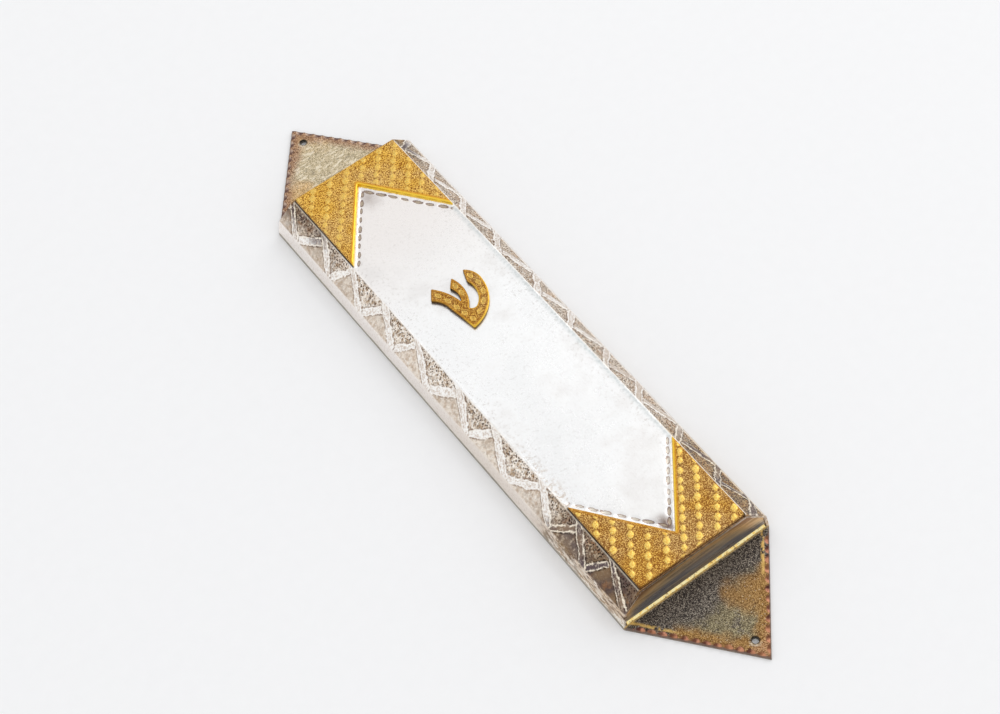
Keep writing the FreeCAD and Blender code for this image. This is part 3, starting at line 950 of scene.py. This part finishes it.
def build_shell():
    """The folded silver sheet, with its engraving in the mesh."""
    section, outward = shell_section()
    columns, rows = len(section), 505
    x, z = (np.tile(section[:, axis], (rows, 1)) for axis in (0, 1))
    y = np.linspace(-1, 1, rows)[:, None] * (HALF_LENGTH - lean(z))
    layers, relief = shell_relief(x, y, z)
    px = np.clip(x + relief * outward[:, 0], -HALF_WIDTH, HALF_WIDTH)
    pz = z + relief * outward[:, 1]
    outer_points = grid_points(px, y, pz)
    grid = np.arange(rows * columns).reshape(rows, columns)
    faces = grid_quads(grid).tolist()
    inner_points = []
    for end in (-1, 1):
        for (sx, sz), (ox, oz) in zip(section, outward):
            ix, iz = sx - ox * SHEET, max(sz - oz * SHEET, FOOT_Z)
            inner_points.append((ix, end * (HALF_LENGTH - lean(iz)), iz))
    near = rows * columns
    far = near + columns
    for c in range(columns - 1):
        faces.append([near + c, near + c + 1, far + c + 1, far + c])
        faces.append([int(grid[0, c]), int(grid[0, c + 1]), near + c + 1, near + c])
        faces.append([int(grid[-1, c]), int(grid[-1, c + 1]), far + c + 1, far + c])
    for column in (0, columns - 1):
        faces.append(grid[:, column].tolist() + [far + column, near + column])
    points = np.concatenate([outer_points, inner_points])
    plain = np.zeros(len(inner_points))
    layers = {key: np.concatenate([values.ravel(), plain]) for key, values in layers.items()}
    nodes, finish = ["cover_shell"], shell_finish()
    add_piece("engraved_shell", points, faces, nodes, finish, layers, crisp=50)


# ---------------------------------------------------------------- chevrons and letter

BEAD_ROW, BEAD_PITCH = 3.43, 2.2


def beads(x, y, tilt, shift):
    """Chained diamond beads in slanting rows: 1 at each bead's middle, 0 between."""
    across = x * math.cos(tilt) - y * math.sin(tilt) + shift
    along = x * math.sin(tilt) + y * math.cos(tilt)
    row = np.round(across / BEAD_ROW)
    along = along + hashed(row, 1.0, 2.0) * BEAD_PITCH
    index = np.round(along / BEAD_PITCH)
    a = along - index * BEAD_PITCH + (hashed(row, index, 3.0) - 0.5) * 0.25
    b = across - (row + (hashed(row, 2.0, 7.0) - 0.5) * 0.08) * BEAD_ROW
    b = b + (hashed(row, index, 4.0) - 0.5) * 0.22
    size = 0.82 + 0.24 * hashed(row, index, 5.0)
    lozenge = (np.abs(a) / (1.12 * size)) ** 1.15 + (np.abs(b) / (0.80 * size)) ** 1.6
    return np.clip(1 - lozenge, 0, 1)


def jittered(x, y, per_mm, seed, amount):
    """Random heights up to half the amount, one for each small square."""
    return (hashed(np.round(x * per_mm), np.round(y * per_mm), seed) - 0.5) * amount


def build_chevron(node, sign, tilt, shift, contrast, **look):
    """A beaded brass plate with a bevelled V; tilt and shift place its rows of beads."""
    low, high = node_box(node)
    side, end = CHEVRON_SIDE, sign * CHEVRON_END
    tip, apex = sign * CHEVRON_TIP, sign * CHEVRON_APEX
    outline = [(-side, end), (side, end), (side, tip), (0.0, apex), (-side, tip)]
    if sign > 0:
        outline.reverse()
    arms = [((0.0, apex), (-side, tip)), ((0.0, apex), (side, tip))]

    def bead_mask(x, y):
        uncut = step(loop_distance(x, y, outline), 0.10, 0.45)
        return beads(x, y, tilt, shift) * step(nearest(x, y, arms), 0.75, 1.15) * uncut

    def relief(x, y):
        height = 0.14 * np.sqrt(bead_mask(x, y)) * (0.4 + 0.6 * contrast)
        jitter = jittered(x, y, 4, 8.0, 0.02) * step(nearest(x, y, arms), 0.5, 0.9)
        dish = (noise(x, y, 8.0, 14) - 0.5) * 0.05
        plain = step(loop_distance(x, y, outline), 0.3, 0.6)
        return -0.14 + (height + jitter) * plain + dish * plain

    points, faces, face = relief_plate(outline, [], 0.24, low[2], high[2], relief, 0.30)
    x, y = points[:, 0], points[:, 1]
    near_v, bead = nearest(x, y, arms), bead_mask(x, y)
    corner = np.hypot(np.abs(x) - CHEVRON_SIDE, np.abs(y) - CHEVRON_END)
    lit = np.ones(x.shape) if sign > 0 else step(x, -0.3, 0.3)
    # The left and end side walls take painted shade; the V's side walls take the bevel's painted
    # highlight.
    left_side = step(0.05 - (x + CHEVRON_SIDE), -0.02, 0.0)
    end_side = step(0.05 - (CHEVRON_END - np.abs(y)), -0.02, 0.0)
    v_side = np.where(near_v < 0.05, 0.8, 0.0)
    soot_and_shade = step(0.8 - corner, 0.0, 0.6) * noise(x, y, 0.8, 7)
    layers = {
        "bead": step(bead, 0.04, 0.22) * face,
        "outline": bell(bead - 0.03, 0.05) * (bead > 0) * face * 0.3,
        # Painted highlight on the V's bevel and side walls, strongest on the lit half.
        "bevel_and_highlight": np.where(face, step(0.34 - near_v, -0.1, 0.1) * (0.1 + 0.9 * lit), v_side),
        # The orange band along the V, stronger on the lit half as painted light.
        "orange_band": step(0.85 - near_v, -0.15, 0.35) * (0.35 + 0.5 * lit) * face,
        # Soot by the face's outer corners; painted shade on the left and end side walls.
        "soot_and_shade": np.where(face, soot_and_shade, np.maximum(left_side, 0.75 * end_side)),
    }
    finish = brass_finish(f"{node}_brass", contrast, **look)
    add_piece(f"beaded_{node}", points, faces, [node], finish, layers)


def arc_through(start, middle, end, count):
    """Points of the arc through three points, without its last one."""
    (ax, ay), (bx, by), (cx, cy) = start, middle, end
    d = 2 * (ax * (by - cy) + bx * (cy - ay) + cx * (ay - by))
    a2, b2, c2 = ax * ax + ay * ay, bx * bx + by * by, cx * cx + cy * cy
    ox = (a2 * (by - cy) + b2 * (cy - ay) + c2 * (ay - by)) / d
    oy = (a2 * (cx - bx) + b2 * (ax - cx) + c2 * (bx - ax)) / d
    radius = math.hypot(ax - ox, ay - oy)
    first, mid, last = (math.atan2(py - oy, px - ox) for px, py in (start, middle, end))
    sweep = (last - first) % (2 * math.pi)
    if (mid - first) % (2 * math.pi) > sweep:
        sweep -= 2 * math.pi
    angles = [first + sweep * k / count for k in range(count)]
    return [(ox + radius * math.cos(t), oy + radius * math.sin(t)) for t in angles]


# The three-armed letter's outline, in shares of its height about its middle. Each corner
# comes with a point that the arc to the next corner passes through, or none if it is straight.
LETTER = [
    ((-0.20, -0.50), (0.24, -0.27)),
    ((0.42, 0.16), (0.39, 0.36)),
    ((0.28, 0.49), None),
    ((0.20, 0.26), (0.21, -0.01)),
    ((0.07, -0.19), (0.0, -0.20)),
    ((-0.05, -0.15), (0.095, 0.16)),
    ((0.05, 0.47), None),
    ((-0.08, 0.32), (-0.04, 0.17)),
    ((-0.08, 0.02), (-0.16, 0.28)),
    ((-0.31, 0.50), None),
    ((-0.44, 0.31), (-0.33, 0.18)),
    ((-0.29, 0.02), None),
]
# The lozenges along its three strokes, from the base up.
STROKES = [
    [(-0.13, -0.36), (-0.17, -0.20), (-0.20, -0.03), (-0.24, 0.15), (-0.30, 0.32)],
    [(0.01, 0.14), (0.01, 0.30)],
    [(0.03, -0.31), (0.18, -0.19), (0.29, -0.04), (0.33, 0.14), (0.30, 0.32)],
]


def letter_outline():
    """The letter's outline with its arcs as points, in shares of its height."""
    points = []
    for (start, middle), (end, _) in zip(LETTER, LETTER[1:] + LETTER[:1]):
        points += arc_through(start, middle, end, 10) if middle else [start]
    return points


def letter_lozenges(height, centre_x, centre_y):
    """The middles and turns of the letter's lozenges."""
    for stroke in STROKES:
        for before, (x, y), after in zip(stroke[:1] + stroke, stroke, stroke[1:] + stroke[-1:]):
            turn = math.atan2(after[0] - before[0], after[1] - before[1])
            yield x * height + centre_x, y * height + centre_y, turn


def build_letter():
    """The raised letter, cut from the same brass, with a chain of outlined lozenges."""
    low, high = node_box("shin_letter")
    height = high[1] - low[1]
    shares = letter_outline()
    centre_x, centre_y = low[0] - min(x for x, _ in shares) * height, low[1] + height / 2
    outline = softened([(x * height + centre_x, y * height + centre_y) for x, y in shares], 1.0)
    lozenges = list(letter_lozenges(height, centre_x, centre_y))

    def bead_mask(x, y):
        mask = np.zeros(np.shape(x))
        for sx, sy, turn in lozenges:
            a = np.abs((x - sx) * math.sin(turn) + (y - sy) * math.cos(turn)) / 0.98
            b = np.abs((x - sx) * math.cos(turn) - (y - sy) * math.sin(turn)) / 0.62
            mask = np.maximum(mask, np.clip(1 - a ** 1.25 - b ** 1.25, 0, 1))
        return mask

    def relief(x, y):
        plain = step(loop_distance(x, y, outline), 0.2, 0.45)
        bead = bead_mask(x, y)
        rim = bell(bead - 0.22, 0.20) * (bead > 0)
        jitter = jittered(x, y, 5, 18.0, 0.04)
        return -0.12 + (0.10 * rim + 0.04 * np.sqrt(bead) + jitter) * plain

    points, faces, face = relief_plate(outline, [], 0.17, low[2], high[2], relief, 0.20)
    x, y = points[:, 0], points[:, 1]
    near, bead = loop_distance(x, y, outline), bead_mask(x, y)
    lit = step(x - centre_x - 0.9 * (y - centre_y), -1.0, 3.0)
    ring_and_heart = np.maximum(bell(bead - 0.22, 0.16), 0.40 * step(bead, 0.2, 0.4))
    layers = {
        "bead": ring_and_heart * (bead > 0) * face,
        "outline": bell(bead - 0.02, 0.06) * face * 0.6 * (bead > 0),
        # Painted highlight along the edge, stronger on the lit side.
        "bevel_and_highlight": step(0.22 - near, -0.06, 0.08) * face * (0.10 + 0.55 * lit),
        "orange_band": step(0.6 - near, -0.1, 0.3) * 0.35 * face,
        # Painted shade on the face's unlit edge and on all the side walls.
        "soot_and_shade": np.where(face, 0.75 * step(0.05 - near, -0.05, 0.0) * (1 - lit), 0.97),
    }
    finish = brass_finish("letter_brass", contrast=0.95, warmth=0.5, lift=-0.02, grit=0.22)
    add_piece("beaded_letter", points, faces, ["shin_letter"], finish, layers)


# ---------------------------------------------------------------- back frame and ears

EAR_EDGES = [
    ((side * HALF_WIDTH, sign * HALF_LENGTH), (0.0, sign * TIP)) for side in (-1, 1) for sign in (-1, 1)
]
SCALLOP_PITCH = 2.2
HOLE_RADIUS = 0.75
HOLE_Y = TIP - 4.9
WINDOW_X, WINDOW_Y = 12.0, 60.5


def scallops(x, y):
    """Depths from 0 to 1 of the ears' filed scallops, and places across each of them."""
    depth, phase = np.zeros(np.shape(x)), np.zeros(np.shape(x))
    for start, end in EAR_EDGES:
        distance, along = segment_distance(x, y, start, end)
        index = np.floor(along / SCALLOP_PITCH)
        a = (along - (index + 0.5) * SCALLOP_PITCH) / (1.02 + 0.12 * hashed(index, start[0], 2.0))
        b = distance / (0.95 + 0.35 * hashed(index, start[1], 3.0))
        cut = np.clip(1 - a * a - b * b, 0, 1) * (np.abs(y) > HALF_LENGTH + 1.2)
        cut = cut * (1.0 if start[1] < 0 else 0.6)
        phase = np.where(cut > depth, 0.5 + 0.5 * a, phase)
        depth = np.maximum(cut, depth)
    return depth, phase


def from_nail_hole(x, y):
    """How far points are from the nearer nail hole's middle along Y, and from its rim."""
    from_middle = y - np.sign(y) * HOLE_Y
    return from_middle, np.hypot(x, from_middle) - HOLE_RADIUS


def frame_relief(x, y):
    """The stipple, waves, scallops and nail holes' burrs on the ears."""
    ear = step(np.abs(y), HALF_LENGTH, HALF_LENGTH + 0.3)
    wave = (noise(x, y, 6.0, 23) - 0.5) * 0.08
    burr = bell(from_nail_hole(x, y)[1] - 0.2, 0.22)
    jitter = jittered(x, y, 3.6, 28.0, 0.03)
    return ear * (-0.07 + jitter + wave * 0.6 - 0.42 * scallops(x, y)[0] + 0.05 * burr)


def on_ear(x, y):
    """Whether points are on the ears or just inside the housing's ends."""
    return np.abs(y) > HALF_LENGTH - 1.0


def build_frame():
    """The long back plate: stippled ears with filed scallops, nail holes and the window."""
    low, high = FRAME_LOW, FRAME_HIGH
    left, right, lower, upper = -HALF_WIDTH, HALF_WIDTH, -HALF_LENGTH, HALF_LENGTH
    outline = [(0.0, -TIP), (right, lower), (right, upper), (0.0, TIP), (left, upper), (left, lower)]
    holes = [
        [(-WINDOW_X, -WINDOW_Y), (WINDOW_X, -WINDOW_Y), (WINDOW_X, WINDOW_Y), (-WINDOW_X, WINDOW_Y)],
    ]
    turns = [2 * math.pi * k / 28 for k in range(28)]
    for y in (-HOLE_Y, HOLE_Y):
        holes.append([(HOLE_RADIUS * math.cos(t), y + HOLE_RADIUS * math.sin(t)) for t in turns])
    points, faces, face = relief_plate(
        outline, holes, 0.28, low[2], high[2], frame_relief, 0.18, on_ear
    )
    x, y = points[:, 0], points[:, 1]
    depth, phase = scallops(x, y)
    from_middle, ring = from_nail_hole(x, y)
    # The side of each nail hole toward the camera, where the burr gets a painted highlight.
    facing = step(-(x + from_middle) / (np.hypot(x, from_middle) + 0.01), 0.2, 1.0)
    layers = {
        # The nail holes' walls, painted near black as shade.
        "hole": step(0.10 - ring, 0.0, 0.08),
        "burr": bell(ring - 0.34, 0.18) * facing * face,
        "edge": nearest(x, y, EAR_EDGES),
        "scallop": step(depth, 0.04, 0.30) * face,
        "phase": phase,
        "seam": bell(np.abs(y) - HALF_LENGTH + 0.06, 0.16) * (y < 0) * face,
        "face": step(np.abs(y), HALF_LENGTH - 0.5, HALF_LENGTH + 0.2) * (0.2 + 0.8 * face),
    }
    nodes, finish = ["back_frame"], ear_finish()
    add_piece("eared_frame", points, faces, nodes, finish, layers)


# ---------------------------------------------------------------- end walls, cover, scroll

def build_wall(node, sign, finish):
    """A leaning end wall, slightly dished, that fits the inside of the shell."""
    low, high = node_box(node)
    outer = sign * (HALF_LENGTH - 0.3)
    columns, rows = 81, 19
    inner_break_x, inner_break_z, inner_crease_x = 17.42, 4.70, 13.26
    foot_x = high[0] + 0.02
    heights = np.linspace(low[2], high[2], rows)
    section = [foot_x, inner_break_x, inner_crease_x]
    reach = np.interp(heights, [low[2], inner_break_z, high[2]], section)
    u = np.linspace(-1, 1, columns)
    x = u * reach[:, None]
    z = np.tile(heights[:, None], (1, columns))
    share = (z - low[2]) / (high[2] - low[2])
    bowl = (1 - u ** 4) * np.sin(np.pi * np.clip(share, 0, 1))
    dish = 0.12 * bowl + 0.05 * (noise(x, z, 3.0, 31) - 0.5) * bowl + 0.26 * step(share, 0.45, 1.2)
    front = grid_points(x, outer - sign * (lean(z) + dish), z)
    back = grid_points(x, outer - sign * (lean(z) + SHEET), z)
    points, faces = closed_sheet(front, back, rows, columns)
    add_piece(f"dished_{node}", points, faces, [node], finish)


def edge_drop(distance, radius):
    """How far a rounded edge falls at a distance from the side."""
    closeness = np.clip(1 - distance / radius, 0, 1)
    return radius * (1 - np.sqrt(1 - closeness ** 2))


def build_cover():
    """The sliding brass plate, with eased edges and a well-rounded front end."""
    low, high = node_box("slide_cover")
    nose, ease = 0.62, np.array([0.0, 0.02, 0.06, 0.12, 0.2])
    tip = nose * (1 - np.cos(np.linspace(0, math.pi / 2, 8)))
    middle_xs = np.linspace(low[0] + 0.8, high[0] - 0.8, 31)
    middle_ys = np.linspace(low[1] + 1.4, high[1] - 0.8, 110)
    xs = np.concatenate([low[0] + ease, middle_xs, high[0] - ease[::-1]])
    ys = np.concatenate([low[1] + tip, middle_ys, high[1] - ease[::-1]])
    x, y = np.meshgrid(xs, ys)
    sides = edge_drop(np.minimum(x - low[0], high[0] - x), 0.2) + edge_drop(high[1] - y, 0.2)
    front = 0.46 * np.clip(1 - (y - low[1]) / nose, 0, 1) ** 1.2
    sunk = np.minimum(front + sides, high[2] - low[2] - 0.10)
    wave = 0.05 * noise(x, y, 9.0, 41) * step(y - low[1], 0.6, 3.0)
    upper_z = high[2] - sunk - wave
    lower_z = np.minimum(low[2] + 0.04 * noise(x, y, 12.0, 42) + 0.3 * sides, upper_z - 0.08)
    upper, lower = grid_points(x, y, upper_z), grid_points(x, y, lower_z)
    points, faces = closed_sheet(upper, lower, len(ys), len(xs))
    nodes, finish = ["slide_cover"], cover_finish()
    add_piece("brass_cover", points, faces, nodes, finish, body="slide_cover")


def build_scroll():
    """Parchment rolled in a spiral of its real thickness."""
    low, high = node_box("scroll")
    radius = (high[0] - low[0]) / 2
    thickness, pitch, turns, first_turn = 0.20, 0.27, 8.6, 2.2
    columns, rows = round(turns * 32), 25
    angle = np.linspace(0, turns * 2 * math.pi, columns)
    share = np.linspace(0, 1, rows)[:, None]
    ragged = 0.5 * noise(angle * 2, angle * 0, 3.0, 50 + (share > 0.5))
    y = low[1] + ragged * (1 - share) + (high[1] - low[1] - ragged) * share
    sag = 0.03 * noise(angle * 3, share * 20, 2.0, 52)

    def skin(depth):
        ring = radius - 0.02 - pitch * angle / (2 * math.pi) - depth - sag
        x = ring * np.cos(angle + first_turn)
        z = low[2] + radius + ring * np.sin(angle + first_turn)
        return grid_points(x, y, z)

    points, faces = closed_sheet(skin(0), skin(thickness), rows, columns)
    add_piece("rolled_parchment", points, faces, ["scroll"], parchment_finish())


def finish_rails():
    """The rails keep their own shape and get a soldered silver finish."""
    material = rail_finish()
    for node in ("left_rail", "right_rail"):
        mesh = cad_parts[node].data
        mesh.materials.clear()
        mesh.materials.append(material)


# ---------------------------------------------------------------- floor, light and camera

def build_table():
    """A plain pale table."""
    half = 3.0
    mesh = bpy.data.meshes.new("table")
    corners = [(-half, -half, 0), (half, -half, 0), (half, half, 0), (-half, half, 0)]
    mesh.from_pydata(corners, [], [(0, 1, 2, 3)])
    paper = Finish("table_paper", metallic=0.0, roughness=0.7)
    shade = paper.noise(3.0, 3.0).blend("f0f0f1", "f3f3f4")
    mesh.materials.append(paper.finish(shade))
    table = in_scene("table", mesh)


def light_scene():
    """The soft light of a white room, and a softbox at the right."""
    world = bpy.data.worlds.new("room")
    bpy.context.scene.world = world
    world.use_nodes = True
    background = world.node_tree.nodes["Background"]
    background.inputs["Color"].default_value = (0.99, 0.995, 1.0, 1.0)
    background.inputs["Strength"].default_value = 0.95
    lamp = bpy.data.lights.new("side_softbox", "AREA")
    lamp.shape = "RECTANGLE"
    lamp.size, lamp.size_y = 0.7, 0.7
    lamp.energy = 1.7
    lamp.color = (1.0, 0.99, 0.97)
    place = Vector((0.75, 0.20, 0.75))
    in_scene("side_softbox", lamp, place, (-place).to_track_quat("-Z", "Y").to_euler())


def place_camera():
    """The camera, fitted to the object's own corners in the photograph."""
    camera = bpy.data.cameras.new("camera")
    camera.sensor_width = 36.0
    camera.lens = 82.18
    camera.clip_start, camera.clip_end = 0.01, 10.0
    turns = [math.radians(turn) for turn in (33.552, 4.964, -36.095)]
    bpy.context.scene.camera = in_scene("camera", camera, (-0.13014, -0.23425, 0.40606), turns)
    bpy.context.scene.view_settings.view_transform = "Standard"


build_table()
light_scene()
place_camera()
build_shell()
build_chevron(
    "lower_chevron", sign=-1, tilt=math.radians(36), shift=-0.28,
    contrast=0.88, warmth=0.45, lift=0.0, grit=0.22,
)
build_chevron(
    "upper_chevron", sign=1, tilt=math.radians(39), shift=0.5,
    contrast=0.66, warmth=0.62, lift=0.075, grit=0.22,
)
build_letter()
build_frame()
END_FINISH = wall_finish()
build_wall("upper_end_wall", 1, END_FINISH)
build_wall("lower_end_wall", -1, END_FINISH)
build_cover()
build_scroll()
finish_rails()
